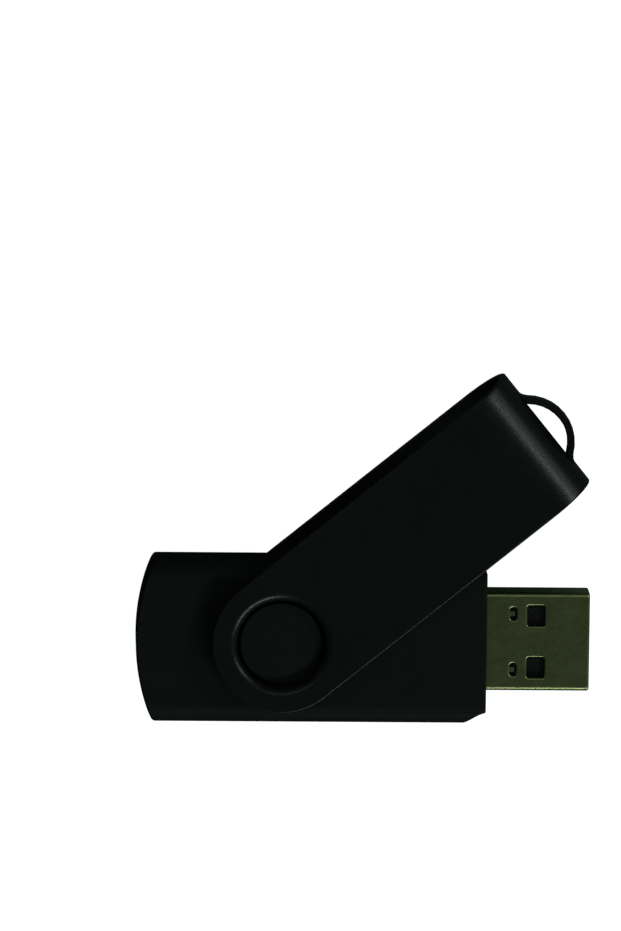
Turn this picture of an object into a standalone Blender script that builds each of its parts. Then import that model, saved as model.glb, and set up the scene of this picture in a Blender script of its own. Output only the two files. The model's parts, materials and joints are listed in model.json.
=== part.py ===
"""Swivel-cover USB flash drive: a two-shell plastic body with a USB-A plug, a circuit board inside it,
and a U-shaped sheet-metal cover that turns all the way round on the body's two round bosses.

The drive is modelled about its swivel axis (the Z axis), with the plug pointing along +X and the
seam between the shells at z = 0. At the end it is stood on its lowest face, centred over the origin.
"""

import math

import bmesh
import bpy
from mathutils import Vector

MM = 0.001
GAP = 0.3 * MM  # between neighbouring pieces that touch on the real drive

# Body: X runs from the swivel axis, Z from the seam.
BODY_WIDTH = 20.1 * MM
BODY_THICKNESS = 7.6 * MM
BODY_REAR = 17.4 * MM
BODY_FRONT = 24.7 * MM
REAR_ARC = 25.0 * MM
BODY_CORNER = 2.5 * MM
BODY_WALL = 1.2 * MM
STEP_LENGTH = 2.45 * MM
STEP_DEPTH = 1.5 * MM
LED_HOLE_RADIUS = 0.5 * MM

# Seam: a lip on the lower shell stands inside a thinned skin of the upper shell.
SKIN = 0.45 * MM
LIP_HEIGHT = 0.8 * MM

# Bosses that carry the cover, one in the middle of each shell.
BOSS_RADIUS = 4.95 * MM
BOSS_TOP = 4.5 * MM
GROOVE_FLOOR = 3.1 * MM
GROOVE_RADIUS = 6.4 * MM

# Swivel cover: one strip of sheet bent into a U.
COVER_WIDTH = 16.6 * MM
COVER_HEIGHT = 11.4 * MM
COVER_END = 40.9 * MM
SHEET = 0.8 * MM
RIM_BORE = 5.25 * MM
RIM_ROUND = 0.7 * MM
RIM_DEPTH = 2.2 * MM
SWIVEL_AT_REST = math.radians(39.1)

# Key-ring loop: a strip slit free in the bend and pushed outward.
LOOP_WIDTH = 2.4 * MM
LOOP_RADIUS = 5.2 * MM
LOOP_PROUD = 2.7 * MM
LOOP_ARC_END = 4.0 * MM
SLIT_END = 5.4 * MM

# USB-A plug.
PLUG_WIDTH = 12.0 * MM
PLUG_HEIGHT = 4.5 * MM
PLUG_LENGTH = 18.75 * MM
PLUG_TIP = 37.1 * MM
PLUG_SHEET = 0.3 * MM
PLUG_CORNER = 0.6 * MM
WINDOW_FROM_TIP = 5.4 * MM
WINDOW_SIZE = (2.1 * MM, 2.5 * MM)
WINDOW_OFFSET = 3.15 * MM
LATCH_FROM_TIP = 8.8 * MM
LATCH_SIZE = (0.75 * MM, 1.55 * MM)
LATCH_OFFSET = 3.4 * MM
CAVITY_DEPTH = 12.2 * MM
TONGUE_FACE = -0.1 * MM  # underside of the tongue, flush with the contacts in it
CONTACT_WIDTH = 1.0 * MM
CONTACT_THICKNESS = 0.3 * MM
CONTACTS = (
    ("power_contact", -3.5 * MM),
    ("data_minus_contact", -1.0 * MM),
    ("data_plus_contact", 1.0 * MM),
    ("ground_contact", 3.5 * MM),
)

# Circuit board.
BOARD_TOP = -0.5 * MM
BOARD_THICKNESS = 0.8 * MM
BOARD_WIDTH = 15.4 * MM
BOARD_REAR = -14.4 * MM
BOARD_FRONT = 17.9 * MM

ARC_SEGMENTS = 8


# ---------------------------------------------------------------- scene and materials


def clear_scene():
    for old in list(bpy.data.objects):
        bpy.data.objects.remove(old, do_unlink=True)


def make_material(name, colour, roughness, metallic):
    material = bpy.data.materials.new(name)
    material.use_nodes = True
    shader = material.node_tree.nodes["Principled BSDF"]
    shader.inputs["Base Color"].default_value = (*colour, 1.0)
    shader.inputs["Roughness"].default_value = roughness
    shader.inputs["Metallic"].default_value = metallic
    material.diffuse_color = (*colour, 1.0)
    return material


def add_object(name, bm, material, parent):
    """Turns a bmesh into a named object that is smooth except at its edges over 35 degrees."""
    bmesh.ops.recalc_face_normals(bm, faces=bm.faces[:])
    mesh = bpy.data.meshes.new(name)
    bm.to_mesh(mesh)
    bm.free()
    mesh.shade_smooth()
    mesh.set_sharp_from_angle(angle=math.radians(35))
    if material:
        mesh.materials.append(material)
    obj = bpy.data.objects.new(name, mesh)
    bpy.context.scene.collection.objects.link(obj)
    obj.parent = parent
    return obj


def add_empty(name, parent=None):
    empty = bpy.data.objects.new(name, None)
    bpy.context.scene.collection.objects.link(empty)
    empty.parent = parent
    return empty


def add_boolean(obj, operation, tool):
    modifier = obj.modifiers.new(operation.lower() + "_" + tool.name, "BOOLEAN")
    modifier.operation = operation
    modifier.solver = "EXACT"
    modifier.object = tool


def add_tool(name, bm, parent):
    """A Boolean's second shape, which is no piece of its own."""
    tool = add_object(name, bm, None, parent)
    tool.hide_render = True
    tool.display_type = "WIRE"
    return tool


# ---------------------------------------------------------------- outlines and solids


def arc(centre, radius, start, end, segments=ARC_SEGMENTS):
    """Points of a circular arc from start to end, both in degrees."""
    points = []
    for i in range(segments + 1):
        angle = math.radians(start + (end - start) * i / segments)
        points.append((centre[0] + radius * math.cos(angle), centre[1] + radius * math.sin(angle)))
    return points


def rounded_rectangle(width, height, radius, segments=ARC_SEGMENTS):
    x = width / 2 - radius
    y = height / 2 - radius
    outline = []
    for centre, start in (((x, y), 0), ((-x, y), 90), ((-x, -y), 180), ((x, -y), 270)):
        outline += arc(centre, radius, start, start + 90, segments)
    return outline


def prism(outline, axis, low, high):
    """Closed solid with the given outline, extruded along X (outline in Y, Z), Y (X, Z) or Z (X, Y)."""
    place = {
        "X": lambda p, t: (t, p[0], p[1]),
        "Y": lambda p, t: (p[0], t, p[1]),
        "Z": lambda p, t: (p[0], p[1], t),
    }[axis]
    bm = bmesh.new()
    rings = [[bm.verts.new(place(p, t)) for p in outline] for t in (low, high)]
    bm.faces.new(rings[0])
    bm.faces.new(rings[1])
    count = len(outline)
    for i in range(count):
        j = (i + 1) % count
        bm.faces.new((rings[0][i], rings[0][j], rings[1][j], rings[1][i]))
    return bm


def block(low, high):
    """Box between two corners."""
    outline = [(low[0], low[1]), (high[0], low[1]), (high[0], high[1]), (low[0], high[1])]
    return prism(outline, "Z", low[2], high[2])


def ring_prism(outer, inner, low, high):
    """Tube along X between two outlines that have the same number of points."""
    bm = bmesh.new()
    loops = [[bm.verts.new((x, *p)) for p in outline] for x in (low, high) for outline in (outer, inner)]
    count = len(outer)
    for a, b in ((0, 2), (2, 3), (3, 1), (1, 0)):
        for i in range(count):
            j = (i + 1) % count
            bm.faces.new((loops[a][i], loops[a][j], loops[b][j], loops[b][i]))
    return bm


# ---------------------------------------------------------------- body shells


def body_outline(inset=0.0):
    """Plan of the body, or of its hollow at a given wall: arc at the rear, stepped corners at the front."""
    half = BODY_WIDTH / 2 - inset
    radius = REAR_ARC - inset
    centre = (REAR_ARC - BODY_REAR, 0.0)
    spread = math.degrees(math.asin(half / radius))
    front = BODY_FRONT - inset
    outline = arc(centre, radius, 180 - spread, 180 + spread, 2 * ARC_SEGMENTS)
    corner = []
    for i in range(ARC_SEGMENTS + 1):
        t = i / ARC_SEGMENTS
        corner.append((front - STEP_LENGTH * (1 - t), half - STEP_DEPTH * (1 - (1 - t) ** 1.5)))
    outline += [(x, -y) for x, y in corner]
    outline += reversed(corner)
    return outline


def body_solid(name, inset, parent, add):
    """The body's plan crossed with its rounded section; the section gives the long edges their radius."""
    width = BODY_WIDTH - 2 * inset
    height = BODY_THICKNESS - 2 * inset
    section = rounded_rectangle(width, height, BODY_CORNER - inset)
    solid = add(name, prism(section, "X", -2 * BODY_REAR, 2 * BODY_FRONT), parent)
    plan = prism(body_outline(inset), "Z", -BODY_THICKNESS, BODY_THICKNESS)
    add_boolean(solid, "INTERSECT", add_tool(name + "_plan", plan, parent))
    return solid


def body_shell(name, side, hollow, openings, material, parent):
    """One half of the body; side is +1 for the upper shell and -1 for the lower one."""
    shell = body_solid(name, 0.0, parent, lambda n, bm, p: add_object(n, bm, material, p))
    reach = 2 * BODY_FRONT
    z_low, z_high = sorted((side * GAP / 2, side * BODY_THICKNESS))
    half = block((-reach, -BODY_WIDTH, z_low), (reach, BODY_WIDTH, z_high))
    add_boolean(shell, "INTERSECT", add_tool(name + "_half", half, parent))
    add_boolean(shell, "DIFFERENCE", hollow)
    add_seam(shell, side, parent)

    z_low, z_high = sorted((side * GROOVE_FLOOR, side * BODY_THICKNESS))
    groove = prism(arc((0, 0), GROOVE_RADIUS, 0, 360, 48)[:-1], "Z", z_low, z_high)
    add_boolean(shell, "DIFFERENCE", add_tool(name + "_groove", groove, parent))
    z_low, z_high = sorted((side * (GROOVE_FLOOR - BODY_WALL / 4), side * BOSS_TOP))
    boss = prism(arc((0, 0), BOSS_RADIUS, 0, 360, 48)[:-1], "Z", z_low, z_high)
    add_boolean(shell, "UNION", add_tool(name + "_boss", boss, parent))
    for opening in openings:
        add_boolean(shell, "DIFFERENCE", opening)
    add_board_ribs(shell, side, parent)
    return shell


def add_seam(shell, side, parent):
    """Thins the upper shell's wall above the seam, or raises the lower shell's lip behind it."""
    top = GAP / 2 + LIP_HEIGHT
    if side > 0:
        recess = prism(body_outline(SKIN), "Z", -top, top)
        add_boolean(shell, "DIFFERENCE", add_tool("lip_recess", recess, parent))
        return
    lip = add_tool("lip", prism(body_outline(SKIN + GAP), "Z", -top, top - GAP), parent)
    inside = prism(body_outline(BODY_WALL), "Z", -2 * top, 2 * top)
    add_boolean(lip, "DIFFERENCE", add_tool("lip_inside", inside, parent))
    add_boolean(shell, "UNION", lip)


def add_board_ribs(shell, side, parent):
    """Four short ribs that hold the circuit board's edges between the shells."""
    board_face = BOARD_TOP if side > 0 else BOARD_TOP - BOARD_THICKNESS
    ceiling = side * (BODY_THICKNESS / 2 - BODY_WALL / 2)
    z_low, z_high = sorted((board_face + side * GAP, ceiling))
    half_rib = 0.6 * MM
    y_rib = BOARD_WIDTH / 2 - half_rib
    for i, x in enumerate((BOARD_REAR + 2 * MM, BOARD_FRONT - 6 * MM)):
        for j, y in enumerate((-y_rib, y_rib)):
            rib = block((x - half_rib, y - half_rib, z_low), (x + half_rib, y + half_rib, z_high))
            add_boolean(shell, "UNION", add_tool(f"{shell.name}_rib_{i}{j}", rib, parent))


def make_body(material, parent):
    hollow = body_solid("body_hollow", BODY_WALL, parent, add_tool)
    mouth = rounded_rectangle(PLUG_WIDTH + 2 * GAP, PLUG_HEIGHT + 2 * GAP, PLUG_CORNER + GAP)
    mouth = prism(mouth, "X", BODY_FRONT - 2 * BODY_WALL, BODY_FRONT + BODY_WALL)
    lamp_hole = arc((0, 0), LED_HOLE_RADIUS, 0, 360, 2 * ARC_SEGMENTS)[:-1]
    lamp_hole = prism(lamp_hole, "X", -BODY_REAR - BODY_WALL, -BODY_REAR + 2 * BODY_WALL)
    openings = (add_tool("plug_mouth", mouth, parent), add_tool("lamp_hole", lamp_hole, parent))
    body_shell("upper_shell", 1, hollow, openings, material, parent)
    body_shell("lower_shell", -1, hollow, openings, material, parent)


# ---------------------------------------------------------------- swivel cover


def cover_lanes():
    """The cover's y positions across its width; the key-ring loop lies between the slits' ends."""
    edge = COVER_WIDTH / 2
    inner = [SLIT_END * math.sin(math.radians(a)) for a in range(-90, 91, 15)]
    middle = (SLIT_END + edge) / 2
    return [-edge, -middle] + inner + [middle, edge]


def rim_profile():
    """Middle line of the sheet at a swivel hole, as (radius, depth below the plate), from plate to tip."""
    radius = RIM_BORE + SHEET / 2
    turn = arc((radius + RIM_ROUND, -RIM_ROUND), RIM_ROUND, 90, 180, 4)
    return [(r, -z) for r, z in turn] + [(radius, RIM_DEPTH - SHEET / 2)]


def plate_border(lanes):
    """Outline of the plate's swivel end, once round from the last lane's corner back to it."""
    edge = COVER_WIDTH / 2
    side_steps = 4
    side = [(edge * (1 - i / side_steps), edge) for i in range(side_steps)]
    round_end = arc((0, 0), edge, 90, 270, len(lanes) + side_steps)[:-1]
    back = [(edge * i / side_steps, -edge) for i in range(side_steps)]
    front = [(edge, y) for y in lanes[:-1]]
    return side + round_end + back + front


def add_plate_end(bm, side, lanes, height):
    """Swivel end of one plate, with its hole's rim; returns the row of points where the plate goes on."""
    border = plate_border(lanes)
    count = len(border)
    profile = rim_profile()
    corner_angle = 45.0
    rings = [[bm.verts.new((x, y, side * height)) for x, y in border]]
    for radius, depth in profile:
        turn = arc((0, 0), radius, corner_angle, corner_angle + 360, count)[:-1]
        rings.append([bm.verts.new((x, y, side * (height - depth))) for x, y in turn])
    for outer, inner in zip(rings, rings[1:]):
        for i in range(count):
            j = (i + 1) % count
            bm.faces.new((outer[i], outer[j], inner[j], inner[i]))
    return rings[0][1 - len(lanes):] + [rings[0][0]]


def loop_lift(y):
    """How far the key-ring loop is pushed out of the bend at y: an arc with eased ends."""
    offset = abs(y)
    reach = min(offset, LOOP_ARC_END)
    chord = math.sqrt(LOOP_RADIUS**2 - reach**2)
    lift = LOOP_PROUD - LOOP_RADIUS + chord
    if offset <= LOOP_ARC_END:
        return lift
    run = SLIT_END - LOOP_ARC_END
    t = (offset - LOOP_ARC_END) / run
    slope = -LOOP_ARC_END / chord * run
    return lift * (2 * t**3 - 3 * t**2 + 1) + slope * (t**3 - 2 * t**2 + t)


def bend_heights(height):
    """Heights of the bend's rows; two rows at each slit's sides keep the loop clear of the sheet."""
    loop = LOOP_WIDTH / 2
    slit = loop + GAP
    upper = [height * math.cos(math.radians(a)) for a in range(10, 70, 10)]
    return upper + [slit, loop, 0.0, -loop, -slit] + [-z for z in reversed(upper)]


def cover_sheet():
    """Middle surface of the cover's sheet, to be thickened both ways."""
    bm = bmesh.new()
    lanes = cover_lanes()
    height = (COVER_HEIGHT - SHEET) / 2
    bend_centre = COVER_END - SHEET / 2 - height
    rows = [add_plate_end(bm, 1, lanes, height)]
    rows.append([bm.verts.new((bend_centre, y, height)) for y in lanes])
    for z in bend_heights(height):
        x = bend_centre + math.sqrt(height**2 - z**2)
        on_loop = abs(z) < LOOP_WIDTH / 2 + GAP / 2
        row = []
        for y in lanes:
            lift = loop_lift(y) if on_loop and abs(y) < SLIT_END - GAP / 2 else 0.0
            row.append(bm.verts.new((x + lift, y, z)))
        rows.append(row)
    rows.append([bm.verts.new((bend_centre, y, -height)) for y in lanes])
    rows.append(add_plate_end(bm, -1, lanes, height))
    slit_height = (LOOP_WIDTH + GAP) / 2
    for upper, lower in zip(rows, rows[1:]):
        between = (upper[0].co.z + lower[0].co.z) / 2
        in_slit = abs(abs(between) - slit_height) < GAP / 2 and upper[0].co.x > bend_centre
        for i in range(len(lanes) - 1):
            if in_slit and abs(lanes[i] + lanes[i + 1]) / 2 < SLIT_END:
                continue
            bm.faces.new((upper[i], upper[i + 1], lower[i + 1], lower[i]))
    return bm


def make_cover(material, parent):
    cover = add_object("swivel_cover", cover_sheet(), material, parent)
    thicken = cover.modifiers.new("sheet", "SOLIDIFY")
    thicken.thickness = SHEET
    thicken.offset = 0.0
    thicken.use_even_offset = True
    return cover


# ---------------------------------------------------------------- plug


def make_plug_shell(material, parent):
    """Folded steel tube with two windows and two latch slots in each broad face."""
    outer = rounded_rectangle(PLUG_WIDTH, PLUG_HEIGHT, PLUG_CORNER)
    inner = rounded_rectangle(
        PLUG_WIDTH - 2 * PLUG_SHEET, PLUG_HEIGHT - 2 * PLUG_SHEET, PLUG_CORNER - PLUG_SHEET
    )
    tube = ring_prism(outer, inner, PLUG_TIP - PLUG_LENGTH, PLUG_TIP)
    shell = add_object("plug_shell", tube, material, parent)
    holes = (
        ("window", WINDOW_FROM_TIP, WINDOW_SIZE, WINDOW_OFFSET, 0.2 * MM),
        ("latch", LATCH_FROM_TIP, LATCH_SIZE, LATCH_OFFSET, 0.3 * MM),
    )
    for kind, from_tip, size, offset, radius in holes:
        outline = rounded_rectangle(*size, radius, 3)
        for i, y in enumerate((-offset, offset)):
            placed = [(PLUG_TIP - from_tip - size[0] / 2 + u, y + v) for u, v in outline]
            hole = prism(placed, "Z", -PLUG_HEIGHT, PLUG_HEIGHT)
            add_boolean(shell, "DIFFERENCE", add_tool(f"{kind}_{i}", hole, parent))
    return shell


def make_insulator(material, parent):
    """Plastic moulding: a block that fills the rear of the plug, and the tongue that runs to its mouth."""
    inner_half = PLUG_HEIGHT / 2 - PLUG_SHEET - GAP
    half_width = PLUG_WIDTH / 2 - PLUG_SHEET - GAP
    rear = PLUG_TIP - PLUG_LENGTH + GAP
    shoulder = PLUG_TIP - CAVITY_DEPTH
    tip = PLUG_TIP - 2 * GAP
    side_view = [
        (rear, inner_half),
        (tip, inner_half),
        (tip, TONGUE_FACE),
        (shoulder, TONGUE_FACE),
        (shoulder, -inner_half),
        (rear, -inner_half),
    ]
    insulator = add_object("plug_insulator", prism(side_view, "Y", -half_width, half_width), material, parent)
    half_channel = CONTACT_WIDTH / 2 + GAP
    for name, y in CONTACTS:
        low = (rear - GAP, y - half_channel, TONGUE_FACE - GAP)
        high = (tip - 3 * GAP, y + half_channel, TONGUE_FACE + CONTACT_THICKNESS + GAP)
        add_boolean(insulator, "DIFFERENCE", add_tool(name + "_channel", block(low, high), parent))
    return insulator


def make_contacts(material, parent):
    """Flat strips in the tongue's channels; their tails reach over the circuit board's front pads."""
    rear = BOARD_FRONT - 2.0 * MM
    tip = PLUG_TIP - 6 * GAP
    for name, y in CONTACTS:
        low = (rear, y - CONTACT_WIDTH / 2, TONGUE_FACE)
        high = (tip, y + CONTACT_WIDTH / 2, TONGUE_FACE + CONTACT_THICKNESS)
        add_object(name, block(low, high), material, parent)


# ---------------------------------------------------------------- electronics


def make_board(material, parent):
    """Board with a notch in each long edge, where it would snap out of its panel."""
    half = BOARD_WIDTH / 2
    notch = 0.6 * MM
    middle = (BOARD_REAR + BOARD_FRONT) / 2
    edge = arc((middle, half), notch, 180, 360, ARC_SEGMENTS)
    outline = [(BOARD_REAR, -half)] + [(x, -y) for x, y in edge] + [(BOARD_FRONT, -half)]
    outline += [(BOARD_FRONT, half)] + list(reversed(edge)) + [(BOARD_REAR, half)]
    board = prism(outline, "Z", BOARD_TOP - BOARD_THICKNESS, BOARD_TOP)
    add_object("circuit_board", board, material, parent)


def toothed_edge(length, pitch, count, reach):
    """One row of leads, from -length/2 to length/2, as (along, outward) points."""
    points = []
    for i in range(count):
        middle = (i - (count - 1) / 2) * pitch
        points += [(middle - pitch / 4, 0.0), (middle - pitch / 4, reach)]
        points += [(middle + pitch / 4, reach), (middle + pitch / 4, 0.0)]
    return [(-length / 2, 0.0)] + points + [(length / 2, 0.0)]


def make_leaded_chip(name, centre, size, pitch, rows, material, parent):
    """Chip with flat leads; rows gives the leads on its X faces and on its Y faces."""
    length, width, height = size
    reach = 0.8 * MM
    lead = 0.15 * MM
    bottom = BOARD_TOP + GAP
    outline = []
    turns = (
        (rows[1], length, lambda a, o: (a, -width / 2 - o)),
        (rows[0], width, lambda a, o: (length / 2 + o, a)),
        (rows[1], length, lambda a, o: (-a, width / 2 + o)),
        (rows[0], width, lambda a, o: (-length / 2 - o, -a)),
    )
    for count, span, place in turns:
        for along, outward in toothed_edge(span, pitch, count, reach)[:-1]:
            x, y = place(along, outward)
            outline.append((centre[0] + x, centre[1] + y))
    frame = prism(outline, "Z", bottom + lead, bottom + 2 * lead)
    chip = add_object(name, frame, material, parent)
    inset = 0.05 * MM
    low = (centre[0] - length / 2 + inset, centre[1] - width / 2 + inset, bottom)
    high = (centre[0] + length / 2 - inset, centre[1] + width / 2 - inset, bottom + height)
    add_boolean(chip, "UNION", add_tool(name + "_case", block(low, high), parent))


def make_top_parts(chip_material, parent):
    memory_size = (18.4 * MM, 11.8 * MM, 1.0 * MM)
    controller_size = (6.4 * MM, 6.4 * MM, 1.0 * MM)
    make_leaded_chip("memory_chip", (-2.9 * MM, 0.0), memory_size, 0.5 * MM, (22, 0), chip_material, parent)
    make_leaded_chip(
        "controller_chip", (11.6 * MM, 0.0), controller_size, 0.65 * MM, (9, 9), chip_material, parent
    )


def make_bottom_parts(materials, parent):
    """Crystal and small two-ended parts on the board's underside."""
    top = BOARD_TOP - BOARD_THICKNESS - GAP
    crystal = rounded_rectangle(3.2 * MM, 2.5 * MM, 0.3 * MM, 3)
    crystal = prism([(12.0 * MM + u, v) for u, v in crystal], "Z", top - 0.7 * MM, top)
    add_object("crystal", crystal, materials["plug_steel"], parent)
    for kind, y, size in (("capacitor", 3.4 * MM, (1.6, 0.8, 0.65)), ("resistor", -3.4 * MM, (1.6, 0.8, 0.45))):
        length, width, height = (v * MM for v in size)
        for i in range(4):
            x = (-6.0 + 4.0 * i) * MM
            low = (x - length / 2, y - width / 2, top - height)
            high = (x + length / 2, y + width / 2, top)
            add_object(f"{kind}_{i + 1}", block(low, high), materials[kind], parent)


def make_lamp(material, parent):
    """Status lamp on the board's rear edge, behind the small hole in the body's rear face."""
    outline = rounded_rectangle(1.6 * MM, 0.9 * MM, 0.3 * MM, 3)
    bottom = BOARD_TOP + GAP
    centre = (BOARD_REAR + 0.6 * MM, bottom + 0.45 * MM)
    lamp = prism([(y, centre[1] + z) for y, z in outline], "X", centre[0] - 0.5 * MM, centre[0] + 0.5 * MM)
    add_object("status_led", lamp, material, parent)


# ---------------------------------------------------------------- assembly


def stand_on_lowest_face(root):
    """Moves the drive so that it rests on Z = 0 with its bounding box centred over the origin."""
    depsgraph = bpy.context.evaluated_depsgraph_get()
    corners = []
    for obj in bpy.context.scene.objects:
        if obj.type != "MESH" or obj.display_type == "WIRE":
            continue
        solid = obj.evaluated_get(depsgraph)
        corners += [solid.matrix_world @ v.co for v in solid.data.vertices]
    low = Vector(min(c[i] for c in corners) for i in range(3))
    high = Vector(max(c[i] for c in corners) for i in range(3))
    root.location = (-(low.x + high.x) / 2, -(low.y + high.y) / 2, -low.z)


def main():
    clear_scene()
    materials = {
        "body_plastic": make_material("body_plastic", (0.022, 0.024, 0.024), 0.55, 0.0),
        "cover_finish": make_material("cover_finish", (0.030, 0.034, 0.034), 0.42, 0.6),
        "plug_steel": make_material("plug_steel", (0.52, 0.50, 0.46), 0.32, 1.0),
        "insulator": make_material("insulator", (0.015, 0.015, 0.016), 0.5, 0.0),
        "contact_gold": make_material("contact_gold", (0.83, 0.62, 0.28), 0.3, 1.0),
        "board": make_material("board", (0.03, 0.16, 0.07), 0.45, 0.0),
        "chip": make_material("chip", (0.02, 0.02, 0.02), 0.6, 0.0),
        "capacitor": make_material("capacitor", (0.35, 0.24, 0.14), 0.5, 0.0),
        "resistor": make_material("resistor", (0.03, 0.03, 0.035), 0.4, 0.0),
        "lamp": make_material("lamp", (0.75, 0.78, 0.72), 0.2, 0.0),
    }
    drive = add_empty("drive")
    case = add_empty("case_frame", drive)
    swivel = add_empty("swivel_axis", drive)
    swivel.rotation_euler.z = SWIVEL_AT_REST

    make_body(materials["body_plastic"], case)
    make_cover(materials["cover_finish"], swivel)
    make_plug_shell(materials["plug_steel"], case)
    make_insulator(materials["insulator"], case)
    make_contacts(materials["contact_gold"], case)
    make_board(materials["board"], case)
    make_top_parts(materials["chip"], case)
    make_bottom_parts(materials, case)
    make_lamp(materials["lamp"], case)
    bpy.context.view_layer.update()
    stand_on_lowest_face(drive)
    bpy.context.view_layer.update()


main()
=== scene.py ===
"""Looks of the USB flash drive with a swivel cover: finer outer meshes, materials and studio."""

import json
import math

import bmesh
import bpy
from mathutils import Euler, Matrix, Vector


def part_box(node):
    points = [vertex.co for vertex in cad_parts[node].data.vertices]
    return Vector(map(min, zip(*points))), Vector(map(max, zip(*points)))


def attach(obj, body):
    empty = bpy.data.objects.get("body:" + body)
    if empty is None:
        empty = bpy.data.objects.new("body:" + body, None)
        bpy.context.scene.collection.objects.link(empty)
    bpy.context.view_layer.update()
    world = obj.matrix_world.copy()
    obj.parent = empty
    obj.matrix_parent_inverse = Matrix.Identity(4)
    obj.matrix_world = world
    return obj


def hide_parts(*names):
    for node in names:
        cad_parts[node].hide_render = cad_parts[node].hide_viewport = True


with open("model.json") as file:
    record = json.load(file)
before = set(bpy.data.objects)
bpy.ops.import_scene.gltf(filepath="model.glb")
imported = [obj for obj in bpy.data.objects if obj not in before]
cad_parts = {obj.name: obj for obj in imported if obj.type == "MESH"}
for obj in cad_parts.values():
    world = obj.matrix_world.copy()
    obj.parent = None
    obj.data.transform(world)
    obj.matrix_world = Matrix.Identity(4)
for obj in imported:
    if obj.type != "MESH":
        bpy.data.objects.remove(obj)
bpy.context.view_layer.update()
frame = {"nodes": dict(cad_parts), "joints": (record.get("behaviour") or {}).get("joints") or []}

MM = 0.001
UM = 1e-6
TOLERANCE = UM
OVERSHOOT = MM

# ---------------------------------------------------------------- sizes, about the swivel axis

JOINT = frame["joints"][0]
PIVOT = Vector(JOINT["pos_m"])
BODY_LOW, BODY_HIGH = (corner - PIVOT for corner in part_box("lower_shell"))
BOSS_TOP = -BODY_LOW.z
BODY_REAR = -BODY_LOW.x
BODY_FRONT = BODY_HIGH.x
BODY_WIDTH = BODY_HIGH.y - BODY_LOW.y
PLUG_LOW, PLUG_HIGH = (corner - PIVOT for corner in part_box("plug_shell"))
PLUG_WIDTH = PLUG_HIGH.y - PLUG_LOW.y
PLUG_HEIGHT = PLUG_HIGH.z - PLUG_LOW.z
COVER_LOW, COVER_HIGH = (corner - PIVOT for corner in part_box("swivel_cover"))
COVER_HEIGHT = COVER_HIGH.z - COVER_LOW.z

BODY_THICKNESS = 7.6 * MM
BODY_CORNER = 2.5 * MM
BODY_WALL = 1.2 * MM
REAR_ARC = 25.0 * MM
STEP_LENGTH = 2.45 * MM
STEP_DEPTH = 1.5 * MM
STEP_CURVE = 1.5
END_ROUND = 0.3 * MM
SEAM = 0.12 * MM
SEAM_ROUND = 0.08 * MM
SKIN = 0.45 * MM
LIP_REACH = SEAM / 2 + 0.8 * MM
LIP_GAP = 0.3 * MM
GROOVE_FLOOR = 3.1 * MM
GROOVE_RADIUS = 6.4 * MM
GROOVE_ROUND = 0.25 * MM
BOSS_RADIUS = 4.95 * MM
BOSS_FOOT = GROOVE_FLOOR - 0.3 * MM
BOSS_ROUND = 0.22 * MM
LED_HOLE_RADIUS = 0.5 * MM
LED_HOLE_ROUND = 0.12 * MM

COVER_WIDTH = 16.6 * MM
COVER_END = 40.9 * MM
SHEET = 0.8 * MM
SHEET_ROUND = 0.2 * MM
RIM_BORE = 5.25 * MM
RIM_ROUND = 0.7 * MM
RIM_DEPTH = 2.2 * MM
SWIVEL_AT_REST = math.radians(39.1)
LOOP_WIDTH = 2.4 * MM
LOOP_RADIUS = 5.2 * MM
LOOP_PROUD = 2.7 * MM
LOOP_ARC_END = 4.0 * MM
SLIT_END = 5.4 * MM
SLIT_GAP = 0.3 * MM
SLIT_MIDDLE = (LOOP_WIDTH + SLIT_GAP) / 2
SLIT_ROUND = 0.05 * MM

PLUG_SHEET = 0.3 * MM
PLUG_CORNER = 0.6 * MM
PLUG_EDGE = 0.1 * MM
TIP_ROUND = 0.3 * MM
TIP_FLARE = 0.5 * MM
MOUTH_GAP = 0.15 * MM
MOUTH_ROUND = 0.15 * MM
WINDOW_FROM_TIP = 5.4 * MM
WINDOW_SIZE = (2.1 * MM, 2.5 * MM)
WINDOW_OFFSET = 3.15 * MM
WINDOW_CORNER = 0.25 * MM
LATCH_FROM_TIP = 8.8 * MM
LATCH_SIZE = (0.75 * MM, 1.55 * MM)
LATCH_OFFSET = 3.4 * MM
LATCH_CORNER = 0.3 * MM
LATCH_TAB = (0.55 * MM, 0.6 * MM)
LATCH_TAB_CORNER = 0.08 * MM
LATCH_TAB_ANCHOR = 0.1 * MM
LATCH_TAB_DEPTHS = (0.12 * MM, 0.28 * MM)
HOLE_ROUND = 0.24 * MM

CONTACT_EDGE = 0.08 * MM
CONTACT_CROWN = 0.05 * MM
CONTACT_TIP_LIFT = 0.6
CONTACT_TOP_LIMIT = 0.8

INNER_EDGE = 0.06 * MM
SHARP_ANGLE = 32

# ---------------------------------------------------------------- studio, in metres, degrees and watts

FLOOR_SIZE = 3.0
FLOOR_LEVEL = -20 * UM
FLOOR_GLOW = 0.97
FLOOR_DIM = (0.13, 0.16, 0.14, 1.0)
WORLD_DIM = (0.036, 0.046, 0.038, 1.0)
WHITE = (1.0, 1.0, 1.0, 1.0)
LIGHT_TINT = (0.88, 1.0, 0.92)
LIGHT_DISTANCE = 0.6
# name, azimuth, elevation, size, power
LIGHTS = (
    ("right", 22, 28, (0.21, 0.05), 0.34),
    ("right_low", 30, 14, (0.25, 0.1), 0.11),
    ("front_right", -59, 30, (0.5, 0.045), 1.1),
    ("back_fill", 99, 60, (0.5, 0.24), 0.16),
)
# lens and sensor in millimetres
CAMERA_LENS = 346.5
CAMERA_SENSOR = 36.0
CAMERA_LEAN = (-8.88, -1.43, 0.64)
CAMERA_TARGET = PIVOT + Vector((3.4, 20.9, 0.0)) * MM
CAMERA_DISTANCE = 1.0743

# ---------------------------------------------------------------- outlines and solids


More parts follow.
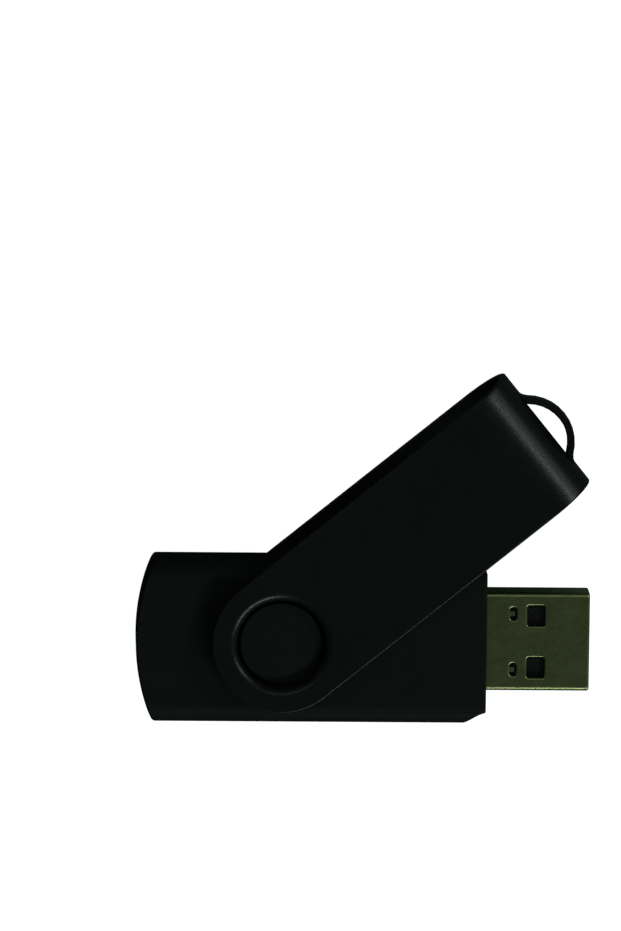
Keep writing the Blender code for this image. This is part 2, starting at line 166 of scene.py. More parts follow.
def arc(centre, radius, start, end, segments):
    """Points of a circular arc from start to end, both in degrees."""
    points = []
    for i in range(segments + 1):
        angle = math.radians(start + (end - start) * i / segments)
        points.append((centre[0] + radius * math.cos(angle), centre[1] + radius * math.sin(angle)))
    return points


def rounded_rectangle(width, height, radius, segments):
    """Outline of a rectangle about the origin, with that many segments to each rounded corner."""
    x = width / 2 - radius
    y = height / 2 - radius
    outline = []
    for centre, start in (((x, y), 0), ((-x, y), 90), ((-x, -y), 180), ((x, -y), 270)):
        outline += arc(centre, radius, start, start + 90, segments)
    return outline


def loft(rings):
    """Closed solid through rings of equal length, with a flat cap on the first and the last."""
    bm = bmesh.new()
    loops = [[bm.verts.new(p) for p in ring] for ring in rings]
    bm.faces.new(loops[0])
    bm.faces.new(loops[-1])
    count = len(rings[0])
    for a, b in zip(loops, loops[1:]):
        for i in range(count):
            j = (i + 1) % count
            bm.faces.new((a[i], a[j], b[j], b[i]))
    bmesh.ops.recalc_face_normals(bm, faces=bm.faces[:])
    return bm


PLACE = {
    "X": lambda p, t: (t, p[0], p[1]),
    "Z": lambda p, t: (p[0], p[1], t),
}


def prism(outline, axis, low, high):
    """Solid with the given outline, extruded along an axis."""
    return loft([[PLACE[axis](p, t) for p in outline] for t in (low, high)])


def flared(outline_at, axis, stations):
    """Solid whose outline grows along an axis; stations are (place along the axis, growth)."""
    return loft([[PLACE[axis](p, t) for p in outline_at(grow)] for t, grow in stations])


def mouth_stations(inner, face, radius, outward):
    """Stations of a cutter whose hole opens in a face with a rounded mouth; outward is 1 or -1."""
    stations = [(inner, 0.0)]
    for x, y in arc((0.0, 0.0), radius, 180, 90, 5):
        stations.append((face - outward * (radius - y), radius + x))
    stations.append((face + outward * radius, 2.5 * radius))
    return stations


def turned(profile, segments=96):
    """Solid of revolution about Z; the (radius, z) profile starts and ends on the axis."""
    bm = bmesh.new()
    first = bm.verts.new((0, 0, profile[0][1]))
    last = bm.verts.new((0, 0, profile[-1][1]))
    rings = []
    for radius, z in profile[1:-1]:
        circle = arc((0, 0), radius, 0, 360, segments)[:-1]
        rings.append([bm.verts.new((x, y, z)) for x, y in circle])
    for i in range(segments):
        j = (i + 1) % segments
        bm.faces.new((first, rings[0][j], rings[0][i]))
        bm.faces.new((last, rings[-1][i], rings[-1][j]))
        for a, b in zip(rings, rings[1:]):
            bm.faces.new((a[i], a[j], b[j], b[i]))
    bmesh.ops.recalc_face_normals(bm, faces=bm.faces[:])
    return bm


def add_object(name, bm):
    """Scene object from a bmesh, which is used up."""
    mesh = bpy.data.meshes.new(name)
    bm.to_mesh(mesh)
    bm.free()
    obj = bpy.data.objects.new(name, mesh)
    bpy.context.scene.collection.objects.link(obj)
    return obj


def bake_modifiers(obj):
    """Replaces the object's mesh by what its modifiers make of it."""
    bpy.context.view_layer.update()
    depsgraph = bpy.context.evaluated_depsgraph_get()
    mesh = bpy.data.meshes.new_from_object(obj.evaluated_get(depsgraph))
    obj.modifiers.clear()
    obj.data = mesh
    return obj


def combine(obj, operation, bm):
    """Boolean of an object with a second shape, which isn't kept."""
    tool = add_object("tool", bm)
    modifier = obj.modifiers.new(operation, "BOOLEAN")
    modifier.operation = operation
    modifier.solver = "EXACT"
    modifier.object = tool
    bake_modifiers(obj)
    bpy.data.objects.remove(tool, do_unlink=True)
    return obj


def round_edges(obj, width, segments, chosen, angle=40.0):
    """Rounds the edges sharper than the angle, in degrees, for which chosen(middle) holds."""
    bm = bmesh.new()
    bm.from_mesh(obj.data)
    edges = []
    for edge in bm.edges:
        middle = (edge.verts[0].co + edge.verts[1].co) / 2
        is_sharp = len(edge.link_faces) == 2 and edge.calc_face_angle() > math.radians(angle)
        if is_sharp and chosen(middle):
            edges.append(edge)
    bmesh.ops.bevel(bm, geom=edges, offset=width, segments=segments, profile=0.5, affect="EDGES")
    bm.to_mesh(obj.data)
    bm.free()
    return obj


def finish_piece(obj, material, body, slot, *replaced, place=None):
    """Smooth shading, material, and the piece's place and body."""
    obj.data.transform(place or Matrix.Translation(PIVOT))
    obj.data.shade_smooth()
    obj.data.set_sharp_from_angle(angle=math.radians(SHARP_ANGLE))
    normals = obj.modifiers.new("normals", "WEIGHTED_NORMAL")
    normals.keep_sharp = True
    obj.data.materials.clear()
    obj.data.materials.append(material)
    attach(obj, body)
    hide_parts(*replaced)
    return obj


# ---------------------------------------------------------------- body shells


def body_outline(inset=0.0):
    """Plan of the body, set in by a wall: arc at the rear, stepped corners at the front."""
    half = BODY_WIDTH / 2 - inset
    radius = REAR_ARC - inset
    spread = math.degrees(math.asin(half / radius))
    front = BODY_FRONT - inset
    outline = arc((REAR_ARC - BODY_REAR, 0.0), radius, 180 - spread, 180 + spread, 48)
    corner = []
    steps = 16
    for i in range(steps + 1):
        rest = 1 - i / steps
        corner.append((front - STEP_LENGTH * rest, half - STEP_DEPTH * (1 - rest**STEP_CURVE)))
    outline += [(x, -y) for x, y in corner]
    outline += reversed(corner)
    return outline


def half_section():
    """Section of a shell across the body, from the seam up over the rounded corners."""
    x = BODY_WIDTH / 2 - BODY_CORNER
    z = BODY_THICKNESS / 2 - BODY_CORNER
    section = [(BODY_WIDTH / 2, SEAM / 2)]
    section += arc((x, z), BODY_CORNER, 0, 90, 20)
    section += arc((-x, z), BODY_CORNER, 90, 180, 20)
    section += [(-BODY_WIDTH / 2, SEAM / 2)]
    return section


def groove_cutter():
    """Cutter for the round recess that the cover's rim runs in, with a rounded mouth."""
    top = BODY_THICKNESS / 2
    profile = [(0, GROOVE_FLOOR), (GROOVE_RADIUS, GROOVE_FLOOR)]
    profile += arc((GROOVE_RADIUS + GROOVE_ROUND, top - GROOVE_ROUND), GROOVE_ROUND, 180, 90, 6)
    profile += [(GROOVE_RADIUS + GROOVE_ROUND, top + OVERSHOOT), (0, top + OVERSHOOT)]
    return turned(profile)


def boss():
    """Round boss that the cover turns on, with a rounded edge."""
    profile = [(0, BOSS_FOOT), (BOSS_RADIUS, BOSS_FOOT)]
    profile += arc((BOSS_RADIUS - BOSS_ROUND, BOSS_TOP - BOSS_ROUND), BOSS_ROUND, 0, 90, 6)
    profile += [(0, BOSS_TOP)]
    return turned(profile)


def lamp_hole():
    """Cutter for the small round hole in the rear face."""

    def outline(grow):
        return arc((0, 0), LED_HOLE_RADIUS + grow, 5, 365, 32)[:-1]

    stations = mouth_stations(-BODY_REAR + 2 * BODY_WALL, -BODY_REAR, LED_HOLE_ROUND, -1)
    return flared(outline, "X", stations)


def plug_mouth():
    """Cutter for the opening in the front face, with a rounded mouth."""
    width = PLUG_WIDTH + 2 * MOUTH_GAP
    height = PLUG_HEIGHT + 2 * MOUTH_GAP
    corner = PLUG_CORNER + MOUTH_GAP

    def outline(grow):
        return rounded_rectangle(width + 2 * grow, height + 2 * grow, corner + grow, 8)

    stations = mouth_stations(BODY_FRONT - 3 * BODY_WALL, BODY_FRONT, MOUTH_ROUND, 1)
    return flared(outline, "X", stations)


def lip_ring():
    """The lower shell's lip, which reaches across the seam inside the upper shell's skin."""
    outside = prism(body_outline(SKIN + LIP_GAP), "Z", LIP_GAP - LIP_REACH, LIP_REACH)
    ring = add_object("lip", outside)
    combine(ring, "DIFFERENCE", prism(body_outline(BODY_WALL), "Z", -2 * LIP_REACH, 2 * LIP_REACH))
    bm = bmesh.new()
    bm.from_mesh(ring.data)
    bpy.data.objects.remove(ring, do_unlink=True)
    return bm


def make_shell(name, is_lower, material):
    """One shell of the body, shaped with its broad face up; the lower one is then turned over."""
    shell = add_object(name, prism(half_section(), "X", -2 * BODY_REAR, 2 * BODY_FRONT))
    combine(shell, "INTERSECT", prism(body_outline(), "Z", -BODY_THICKNESS, BODY_THICKNESS))
    round_edges(shell, END_ROUND, 4, lambda p: abs(p.z) > SEAM)
    round_edges(shell, SEAM_ROUND, 2, lambda p: abs(p.z) < SEAM)

    ceiling = BODY_THICKNESS / 2 - BODY_WALL
    combine(shell, "DIFFERENCE", prism(body_outline(BODY_WALL), "Z", -ceiling, ceiling))
    if is_lower:
        combine(shell, "UNION", lip_ring())
    else:
        combine(shell, "DIFFERENCE", prism(body_outline(SKIN), "Z", -LIP_REACH, LIP_REACH))
    combine(shell, "DIFFERENCE", groove_cutter())
    combine(shell, "UNION", boss())
    combine(shell, "DIFFERENCE", lamp_hole())
    combine(shell, "DIFFERENCE", plug_mouth())
    place = Matrix.Translation(PIVOT)
    if is_lower:
        place = place @ Matrix.Rotation(math.pi, 4, "X")
    replaced = name.replace("_case", "_shell")
    return finish_piece(shell, material, "case", "body_plastic", replaced, place=place)


# ---------------------------------------------------------------- swivel cover


def cover_lanes():
    """The cover's y positions across its width; the key-ring loop lies between the slits' ends."""
    margin = COVER_WIDTH / 2 - SLIT_END
    count = 4
    inner = [SLIT_END * math.sin(math.radians(a)) for a in range(-90, 91, 10)]
    outer = [SLIT_END + margin * i / count for i in range(1, count + 1)]
    return [-y for y in reversed(outer)] + inner + outer


def rim_profile():
    """Middle line of the rim at a swivel hole, from plate to tip, as (radius, depth below the plate)."""
    radius = RIM_BORE + SHEET / 2
    turn = arc((radius + RIM_ROUND, -RIM_ROUND), RIM_ROUND, 90, 180, 10)
    return [(r, -z) for r, z in turn] + [(radius, RIM_DEPTH - SHEET / 2)]


def plate_border(lanes):
    """Outline of the plate's swivel end, once round from the last lane's corner back to it."""
    edge = COVER_WIDTH / 2
    side_steps = 8
    side = [(edge * (1 - i / side_steps), edge) for i in range(side_steps)]
    round_end = arc((0, 0), edge, 90, 270, len(lanes) + side_steps)[:-1]
    back = [(edge * i / side_steps, -edge) for i in range(side_steps)]
    front = [(edge, y) for y in lanes[:-1]]
    return side + round_end + back + front


def add_plate_end(bm, side, lanes, height):
    """Swivel end of one plate, with its hole's rim; returns the row of points where the plate goes on."""
    border = plate_border(lanes)
    count = len(border)
    corner_angle = 45
    rings = [[bm.verts.new((x, y, side * height)) for x, y in border]]
    for radius, depth in rim_profile():
        turn = arc((0, 0), radius, corner_angle, corner_angle + 360, count)[:-1]
        rings.append([bm.verts.new((x, y, side * (height - depth))) for x, y in turn])
    for outer, inner in zip(rings, rings[1:]):
        for i in range(count):
            j = (i + 1) % count
            bm.faces.new((outer[i], outer[j], inner[j], inner[i]))
    return rings[0][1 - len(lanes):] + [rings[0][0]]


def loop_lift(y):
    """How far the key-ring loop is pushed out of the bend at y: an arc with eased ends."""
    offset = abs(y)
    reach = min(offset, LOOP_ARC_END)
    chord = math.sqrt(LOOP_RADIUS**2 - reach**2)
    lift = LOOP_PROUD - LOOP_RADIUS + chord
    if offset <= LOOP_ARC_END:
        return lift
    run = SLIT_END - LOOP_ARC_END
    t = (offset - LOOP_ARC_END) / run
    slope = -LOOP_ARC_END / chord * run
    return lift * (2 * t**3 - 3 * t**2 + 1) + slope * (t**3 - 2 * t**2 + t)


def bend_heights(height):
    """Heights of the bend's rows, top to bottom; each slit lies between two of them."""
    loop = LOOP_WIDTH / 2
    slit = loop + SLIT_GAP
    upper = [height * math.cos(math.radians(a)) for a in range(5, 70, 5)] + [slit, loop, loop / 2]
    return upper + [0.0] + [-z for z in reversed(upper)]


def cover_sheet():
    """Middle surface of the cover's sheet, to be thickened both ways."""
    bm = bmesh.new()
    lanes = cover_lanes()
    height = (COVER_HEIGHT - SHEET) / 2
    bend_centre = COVER_END - SHEET / 2 - height
    rows = [add_plate_end(bm, 1, lanes, height)]
    rows.append([bm.verts.new((bend_centre, y, height)) for y in lanes])
    for z in bend_heights(height):
        x = bend_centre + math.sqrt(height**2 - z**2)
        on_loop = abs(z) < SLIT_MIDDLE
        row = []
        for y in lanes:
            lift = loop_lift(y) if on_loop and abs(y) < SLIT_END - TOLERANCE else 0.0
            row.append(bm.verts.new((x + lift, y, z)))
        rows.append(row)
    rows.append([bm.verts.new((bend_centre, y, -height)) for y in lanes])
    rows.append(add_plate_end(bm, -1, lanes, height))
    for upper, lower in zip(rows, rows[1:]):
        between = (upper[0].co.z + lower[0].co.z) / 2
        in_slit = abs(abs(between) - SLIT_MIDDLE) < TOLERANCE
        for i in range(len(lanes) - 1):
            if in_slit and abs(lanes[i] + lanes[i + 1]) / 2 < SLIT_END:
                continue
            bm.faces.new((upper[i], upper[i + 1], lower[i + 1], lower[i]))
    bmesh.ops.recalc_face_normals(bm, faces=bm.faces[:])
    return bm


def make_cover(material):
    """Pressed sheet with soft edges all round; the slits beside the key-ring loop stay crisper."""
    cover = add_object("cover_skin", cover_sheet())
    thicken = cover.modifiers.new("sheet", "SOLIDIFY")
    thicken.thickness = SHEET
    thicken.offset = 0.0
    thicken.use_even_offset = True
    bake_modifiers(cover)

    def beside_loop(point):
        on_slit = abs(abs(point.z) - SLIT_MIDDLE) < SLIT_GAP
        return on_slit and point.x > COVER_END / 2 and abs(point.y) < SLIT_END + SLIT_GAP

    round_edges(cover, SHEET_ROUND, 4, lambda p: not beside_loop(p))
    round_edges(cover, SLIT_ROUND, 2, beside_loop, 60.0)
    place = Matrix.Translation(PIVOT) @ Matrix.Rotation(SWIVEL_AT_REST, 4, "Z")
    return finish_piece(cover, material, "cover", "cover_finish", "swivel_cover", place=place)


# ---------------------------------------------------------------- plug


def latch_tab(side, y):
    """Small tab that stands in from a latch opening's rear edge, just below the plug's broad face."""
    length, width = LATCH_TAB
    rear_edge = PLUG_HIGH.x - LATCH_FROM_TIP - LATCH_SIZE[0]
    middle = rear_edge + (length - LATCH_TAB_ANCHOR) / 2
    shape = rounded_rectangle(length + LATCH_TAB_ANCHOR, width, LATCH_TAB_CORNER, 4)
    outline = [(middle + u, y + v) for u, v in shape]
    top, bottom = (side * (PLUG_HEIGHT / 2 - depth) for depth in LATCH_TAB_DEPTHS)
    return prism(outline, "Z", bottom, top)


def plug_hole(from_tip, size, radius, side, y):
    """Cutter for one opening in a broad face of the plug, with a rounded mouth."""
    length, width = size
    middle = PLUG_HIGH.x - from_tip - length / 2

    def outline(grow):
        shape = rounded_rectangle(length + 2 * grow, width + 2 * grow, radius + grow, 6)
        return [(middle + u, y + v) for u, v in shape]

    return flared(outline, "Z", mouth_stations(0.0, side * PLUG_HEIGHT / 2, HOLE_ROUND, side))


def plug_tube():
    """Folded tube of the plug: rounded tip, flared mouth, eased rear edge."""

    def section(grow):
        return rounded_rectangle(PLUG_WIDTH + 2 * grow, PLUG_HEIGHT + 2 * grow, PLUG_CORNER + grow, 10)

    rear = PLUG_LOW.x
    tip = PLUG_HIGH.x
    outside = [(rear, -PLUG_EDGE), (rear + PLUG_EDGE, 0.0)]
    outside += arc((tip - TIP_ROUND, -TIP_ROUND), TIP_ROUND, 90, 10, 8)
    tube = add_object("plug_sleeve", flared(section, "X", outside))
    inside = [
        (rear - OVERSHOOT, -PLUG_SHEET),
        (tip - PLUG_EDGE, -PLUG_SHEET),
        (tip + OVERSHOOT, -PLUG_SHEET + TIP_FLARE),
    ]
    return combine(tube, "DIFFERENCE", flared(section, "X", inside))


def make_plug(material):
    """Folded steel tube with rounded window and latch openings in each broad face."""
    plug = plug_tube()
    holes = (
        (WINDOW_FROM_TIP, WINDOW_SIZE, WINDOW_CORNER, WINDOW_OFFSET),
        (LATCH_FROM_TIP, LATCH_SIZE, LATCH_CORNER, LATCH_OFFSET),
    )
    for from_tip, size, radius, offset in holes:
        for side in (-1, 1):
            for y in (-offset, offset):
                combine(plug, "DIFFERENCE", plug_hole(from_tip, size, radius, side, y))
    for side in (-1, 1):
        for y in (-LATCH_OFFSET, LATCH_OFFSET):
            combine(plug, "UNION", latch_tab(side, y))
    return finish_piece(plug, material, "case", "plug_steel", "plug_shell")


def contact_underside(half):
    """Section of a contact's lower face across its width: a faint crown between rounded edges."""
    edge = []
    for angle in (0.0, 0.5, 1.0, 1.5):
        y = -half + CONTACT_EDGE * (1 - math.cos(angle))
        z = CONTACT_CROWN + CONTACT_EDGE * (1 - math.sin(angle))
        edge.append((y, z))
    crown = []
    for i in range(-3, 4):
        t = i / 4
        crown.append((t * (half - CONTACT_EDGE), CONTACT_CROWN * t * t))
    return edge + crown + [(-y, z) for y, z in reversed(edge)]


def make_contact(name, material):
    """Contact strip with a crowned face, bent up into the tongue at its tip."""
    low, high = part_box(name)
    middle = (low.y + high.y) / 2
    height = high.z - low.z
    bent_length = 3 * height
    stations = [(low.x, 0.0)]
    for i in range(5):
        t = i / 4
        stations.append((high.x - bent_length * (1 - t), CONTACT_TIP_LIFT * height * t * t))
    rings = []
    for x, lift in stations:
        ring = []
        for y, z in contact_underside((high.y - low.y) / 2):
            ring.append((x, middle + y, low.z + min(z + lift, CONTACT_TOP_LIMIT * height)))
        ring += [(x, high.y - CONTACT_EDGE, high.z), (x, low.y + CONTACT_EDGE, high.z)]
        rings.append(ring)
    strip = add_object(name.replace("_contact", "_strip"), loft(rings))
    return finish_piece(strip, material, "case", "contact_gold", name, place=Matrix.Identity(4))


# ---------------------------------------------------------------- materials


class Finish:
    """A Principled material and short calls that add its procedural detail."""

    def __init__(self, name, colour, roughness, metallic=0.0, specular=0.5):
        self.material = bpy.data.materials.new(name)
        self.material.use_nodes = True
        self.tree = self.material.node_tree
        self.shader = self.tree.nodes["Principled BSDF"]
        self.set("Base Color", (*colour, 1.0))
        self.set("Roughness", roughness)
        self.set("Metallic", metallic)
        self.set("Specular IOR Level", specular)
        self.place = self.node("ShaderNodeTexCoord").outputs["Object"]

    def set(self, socket, value):
        """One value all over the surface, on the shader's own socket."""
        self.shader.inputs[socket].default_value = value

    def node(self, kind, **settings):
        """New node of the material, with the given settings."""
        node = self.tree.nodes.new(kind)
        for key, value in settings.items():
            setattr(node, key, value)
        return node

    def link(self, output, target):
        """Joins an output to an input."""
        self.tree.links.new(output, target)

    def stretched(self, scale):
        """Object coordinates with one scale per axis."""
        mapping = self.node("ShaderNodeMapping")
        mapping.inputs["Scale"].default_value = scale
        self.link(self.place, mapping.inputs["Vector"])
        return mapping.outputs["Vector"]

    def noise(self, size, detail=2.0, roughness=0.5, place=None):
        """Noise whose largest features have about the given size, in metres."""
        noise = self.node("ShaderNodeTexNoise")
        noise.inputs["Scale"].default_value = 1.0 / size
        noise.inputs["Detail"].default_value = detail
        noise.inputs["Roughness"].default_value = roughness
        self.link(place or self.place, noise.inputs["Vector"])
        return noise.outputs["Fac"]

    def ramp(self, value, low, high, start=0.0, end=1.0):
        """Value mapped from low..high to start..end, clamped."""
        span = self.node("ShaderNodeMapRange")
        for socket, number in (("From Min", low), ("From Max", high), ("To Min", start), ("To Max", end)):
            span.inputs[socket].default_value = number
        self.link(value, span.inputs["Value"])
        return span.outputs["Result"]

    def spread(self, noise, start, end):
        """Noise spread over start..end; nearly all of it lies between 0.3 and 0.7."""
        return self.ramp(noise, 0.3, 0.7, start, end)

    def add(self, first, second):
        """Sum of two outputs."""
        node = self.node("ShaderNodeMath", operation="ADD")
        self.link(first, node.inputs[0])
        self.link(second, node.inputs[1])
        return node.outputs["Value"]

    def mix(self, factor, first, second):
        """Colour between two colours, or outputs, by factor."""
        mix = self.node("ShaderNodeMix", data_type="RGBA")
        self.link(factor, mix.inputs["Factor"])
        for name, value in (("A", first), ("B", second)):
            socket = [s for s in mix.inputs if s.name == name and s.type == "RGBA"][0]
            if isinstance(value, tuple):
                socket.default_value = (*value, 1.0)
            else:
                self.link(value, socket)
        return [s for s in mix.outputs if s.type == "RGBA"][0]

    def bump(self, height, depth, below=None):
        """Bump of the given depth in metres, on top of another one's normal."""
        bump = self.node("ShaderNodeBump")
        bump.inputs["Distance"].default_value = depth
        self.link(height, bump.inputs["Height"])
        if below:
            self.link(below, bump.inputs["Normal"])
        return bump.outputs["Normal"]

    def to(self, socket, output):
        """Varies one of the shader's inputs over the surface."""
        self.link(output, self.shader.inputs[socket])


def body_plastic():
    """Black moulded plastic with a fine spark-eroded grain and a faint mottle."""
    dark = (0.0080, 0.0117, 0.0103)
    finish = Finish("body_plastic", dark, 0.6, specular=0.11)
    mottle = finish.ramp(finish.noise(3.5 * MM, 4.0, 0.6), 0.35, 0.7)
    fine = finish.noise(0.11 * MM, 2.0)
    finish.to("Base Color", finish.mix(mottle, dark, (0.0100, 0.0141, 0.0127)))
    finish.to("Roughness", finish.spread(finish.noise(0.6 * MM, 3.0), 0.54, 0.68))
    grain = finish.bump(fine, 5 * UM)
    finish.to("Normal", finish.bump(finish.noise(0.9 * MM, 2.0), 6 * UM, grain))
    return finish.material


def cover_coat():
    """Black satin coat on blasted sheet metal, with a sparkling grain and faint clouds."""
    dark = (0.0066, 0.0086, 0.0082)
    finish = Finish("cover_finish", dark, 0.3, specular=0.35)
    grain = finish.noise(0.15 * MM, 3.0, 0.6)
    coarse = finish.noise(0.36 * MM, 2.0)
    cloud = finish.ramp(finish.noise(5.0 * MM, 4.0, 0.6), 0.35, 0.7)
    finish.to("Base Color", finish.mix(cloud, dark, (0.0083, 0.0110, 0.0104)))
    finish.to("Roughness", finish.ramp(grain, 0.35, 0.65, 0.22, 0.38))
    finish.to("Normal", finish.bump(coarse, 7 * UM, finish.bump(grain, 10 * UM)))
    return finish.material


def plug_steel():
    """Nickel-plated steel with rolling marks along the plug, brown stains, pale specks and a dull film."""
    green = (0.31, 0.43, 0.17)
    finish = Finish("plug_steel", green, 0.3, metallic=1.0)
    film = finish.noise(2.6 * MM, 5.0, 0.62)
    stain = finish.noise(0.4 * MM, 4.0, 0.7)
    speck = finish.noise(0.20 * MM, 2.0)
    rolled = finish.noise(0.06 * MM, 2.0, place=finish.stretched((0.05, 1.0, 1.0)))
    colour = finish.mix(finish.ramp(stain, 0.42, 0.58), green, (0.50, 0.45, 0.25))
    colour = finish.mix(finish.ramp(film, 0.35, 0.7), colour, (0.28, 0.33, 0.17))
    colour = finish.mix(finish.ramp(speck, 0.70, 0.76), colour, (0.80, 0.84, 0.66))
    finish.to("Base Color", colour)
    streaks = finish.spread(rolled, -0.03, 0.03)
    finish.to("Roughness", finish.add(finish.spread(film, 0.26, 0.4), streaks))
    finish.to("Normal", finish.bump(rolled, 0.5 * UM, finish.bump(speck, 3 * UM)))
    return finish.material


def insulator_plastic():
    """Black moulding with a soft sheen."""
    finish = Finish("insulator", (0.004, 0.004, 0.0045), 0.4, specular=0.4)
    finish.to("Roughness", finish.spread(finish.noise(0.5 * MM, 3.0), 0.34, 0.5))
    finish.to("Normal", finish.bump(finish.noise(0.15 * MM), 3 * UM))
    return finish.material


def contact_gold():
    """Thin gold plate with wiping marks along the contact."""
    gold = (0.80, 0.56, 0.20)
    finish = Finish("contact_gold", gold, 0.25, metallic=1.0)
    wiped = finish.noise(0.08 * MM, 3.0, place=finish.stretched((0.06, 1.0, 1.0)))
    dull = finish.noise(1.2 * MM, 3.0)
    finish.to("Base Color", finish.mix(finish.ramp(dull, 0.4, 0.7), gold, (0.62, 0.42, 0.16)))
    finish.to("Roughness", finish.spread(wiped, 0.18, 0.38))
    finish.to("Normal", finish.bump(wiped, 1.5 * UM))
    return finish.material


def board_mask():
    """Green solder mask over a net of copper tracks, which stand slightly proud and paler."""
    finish = Finish("board", (0.01, 0.09, 0.035), 0.35)
    net = finish.node("ShaderNodeTexBrick")
    net.inputs["Scale"].default_value = 420.0
    net.inputs["Mortar Size"].default_value = 0.12
    finish.link(finish.place, net.inputs["Vector"])
    tracks = net.outputs["Fac"]
    finish.to("Base Color", finish.mix(tracks, (0.01, 0.08, 0.03), (0.02, 0.15, 0.06)))
    finish.to("Roughness", finish.spread(finish.noise(0.8 * MM, 3.0), 0.28, 0.42))
    finish.to("Normal", finish.bump(tracks, 15 * UM))
    return finish.material


def chip_resin():
    """Matte black resin with a fine grain."""
    finish = Finish("chip", (0.012, 0.012, 0.013), 0.6, specular=0.3)
    finish.to("Roughness", finish.spread(finish.noise(0.4 * MM, 3.0), 0.5, 0.7))
    finish.to("Normal", finish.bump(finish.noise(0.06 * MM, 3.0), 4 * UM))
    return finish.material


def small_part(name, colour, second_colour, roughness, metallic=0.0):
    """Ceramic or metal part with a mottled face."""
    finish = Finish(name, colour, roughness, metallic)
    patches = finish.ramp(finish.noise(0.3 * MM, 3.0), 0.4, 0.65)
    finish.to("Base Color", finish.mix(patches, colour, second_colour))
    finish.to("Roughness", finish.spread(finish.noise(0.2 * MM), roughness - 0.08, roughness + 0.08))
    finish.to("Normal", finish.bump(finish.noise(0.08 * MM), 2 * UM))
    return finish.material


def floor_paint():
    """White paint that lights itself for the camera and stays dim in the drive's reflections."""
    finish = Finish("floor_paint", (0.8, 0.8, 0.8), 0.9, specular=0.1)
    finish.set("Emission Color", WHITE)
    finish.set("Emission Strength", FLOOR_GLOW)
    finish.to("Roughness", finish.spread(finish.noise(20 * MM, 3.0), 0.85, 0.95))
    dim = finish.node("ShaderNodeBsdfDiffuse")
    dim.inputs["Color"].default_value = FLOOR_DIM
    ray = finish.node("ShaderNodeLightPath")
    choice = finish.node("ShaderNodeMixShader")
    finish.link(ray.outputs["Is Camera Ray"], choice.inputs["Fac"])
    finish.link(dim.outputs["BSDF"], choice.inputs[1])
    finish.link(finish.shader.outputs["BSDF"], choice.inputs[2])
    finish.link(choice.outputs["Shader"], finish.tree.nodes["Material Output"].inputs["Surface"])
    return finish.material


# ---------------------------------------------------------------- studio


def make_floor():
    """Square plane a hair's breadth below the drive, so that no two faces share one level."""
    bm = bmesh.new()
    corners = []
    for x, y in ((-1, -1), (1, -1), (1, 1), (-1, 1)):
        corners.append(bm.verts.new((x * FLOOR_SIZE, y * FLOOR_SIZE, FLOOR_LEVEL)))
    bm.faces.new(corners)
    floor = add_object("floor", bm)
    floor.data.materials.append(floor_paint())


def make_world():
    """Pale to the camera, dim for what the drive reflects."""
    world = bpy.data.worlds.new("studio")
    bpy.context.scene.world = world
    world.use_nodes = True
    nodes = world.node_tree.nodes
    links = world.node_tree.links
    background = nodes["Background"]
    ray = nodes.new("ShaderNodeLightPath")
    mix = nodes.new("ShaderNodeMix")
    mix.data_type = "RGBA"
    reflected, seen = [s for s in mix.inputs if s.type == "RGBA"]
    reflected.default_value = WORLD_DIM
    seen.default_value = WHITE
    links.new(ray.outputs["Is Camera Ray"], mix.inputs["Factor"])
    links.new([s for s in mix.outputs if s.type == "RGBA"][0], background.inputs["Color"])


def add_softbox(name, azimuth, elevation, size, power):
    """Area light facing the drive from an azimuth about Z and an elevation."""
    light = bpy.data.lights.new(name, "AREA")
    light.shape = "RECTANGLE"
    light.size, light.size_y = size
    light.energy = power
    light.color = LIGHT_TINT
    obj = bpy.data.objects.new(name, light)
    bpy.context.scene.collection.objects.link(obj)
    a = math.radians(azimuth)
    e = math.radians(elevation)
    direction = Vector((math.cos(a) * math.cos(e), math.sin(a) * math.cos(e), math.sin(e)))
    obj.location = PIVOT + direction * LIGHT_DISTANCE
    obj.rotation_euler = direction.to_track_quat("Z", "Y").to_euler()


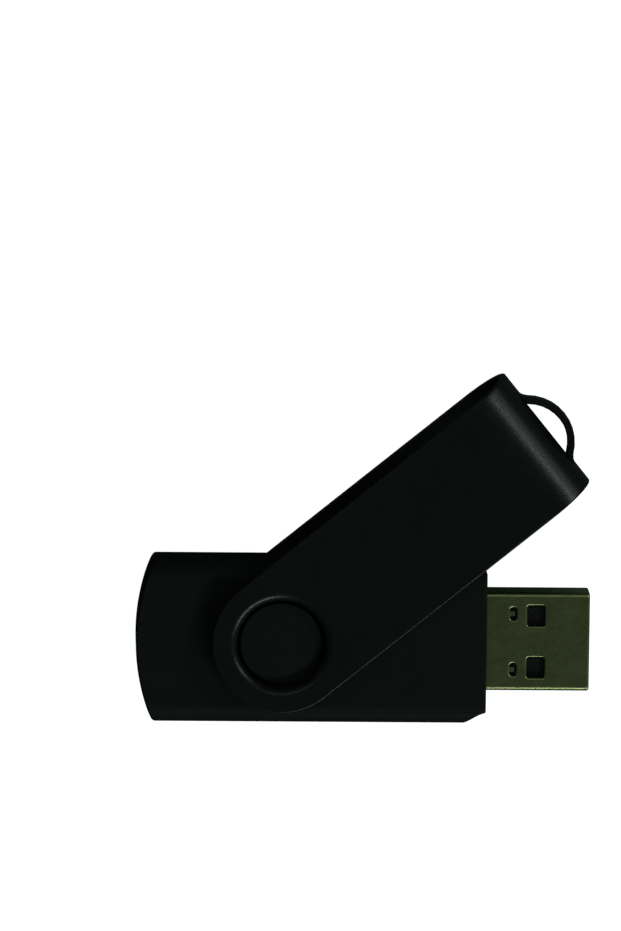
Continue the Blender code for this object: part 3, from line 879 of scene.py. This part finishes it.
def make_camera():
    """Long lens from almost overhead, leaning a little to the drive's far side."""
    data = bpy.data.cameras.new("camera")
    camera = bpy.data.objects.new("camera", data)
    bpy.context.scene.collection.objects.link(camera)
    bpy.context.scene.camera = camera
    data.lens = CAMERA_LENS
    data.sensor_width = CAMERA_SENSOR
    camera.rotation_euler = Euler([math.radians(a) for a in CAMERA_LEAN])
    back = camera.rotation_euler.to_matrix() @ Vector((0, 0, CAMERA_DISTANCE))
    camera.location = CAMERA_TARGET + back
    data.clip_start = 0.05
    data.clip_end = 10.0


# ---------------------------------------------------------------- the drive


def dress_inner_parts():
    """Materials and a small edge rounding for the CAD nodes that stay."""
    chip = chip_resin()
    tin = small_part("crystal_can", (0.72, 0.72, 0.70), (0.58, 0.58, 0.56), 0.3, 1.0)
    capacitor = small_part("capacitor", (0.30, 0.19, 0.10), (0.24, 0.15, 0.08), 0.45)
    resistor = small_part("resistor", (0.012, 0.012, 0.014), (0.02, 0.02, 0.022), 0.4)
    finishes = {
        "plug_insulator": (insulator_plastic(), "insulator"),
        "circuit_board": (board_mask(), "board"),
        "memory_chip": (chip, "chip"),
        "controller_chip": (chip, "chip"),
        "crystal": (tin, "crystal_can"),
        "status_led": (small_part("lamp", (0.75, 0.78, 0.70), (0.66, 0.70, 0.62), 0.2), "lamp"),
    }
    for i in range(1, 5):
        finishes[f"capacitor_{i}"] = (capacitor, "capacitor")
        finishes[f"resistor_{i}"] = (resistor, "resistor")
    for name, (material, slot) in finishes.items():
        node = frame["nodes"][name]
        node.data.materials.clear()
        node.data.materials.append(material)
        edges = node.modifiers.new("edges", "BEVEL")
        edges.width = INNER_EDGE
        edges.segments = 2
        edges.limit_method = "ANGLE"
        edges.angle_limit = math.radians(50)


def main():
    """Builds every piece, then the studio."""
    make_camera()
    plastic = body_plastic()
    make_shell("upper_case", False, plastic)
    make_shell("lower_case", True, plastic)
    make_cover(cover_coat())
    make_plug(plug_steel())
    gold = contact_gold()
    for name in ("power_contact", "data_minus_contact", "data_plus_contact", "ground_contact"):
        make_contact(name, gold)
    dress_inner_parts()
    make_floor()
    make_world()
    for light in LIGHTS:
        add_softbox(*light)
    bpy.context.scene.view_settings.view_transform = "Standard"


main()
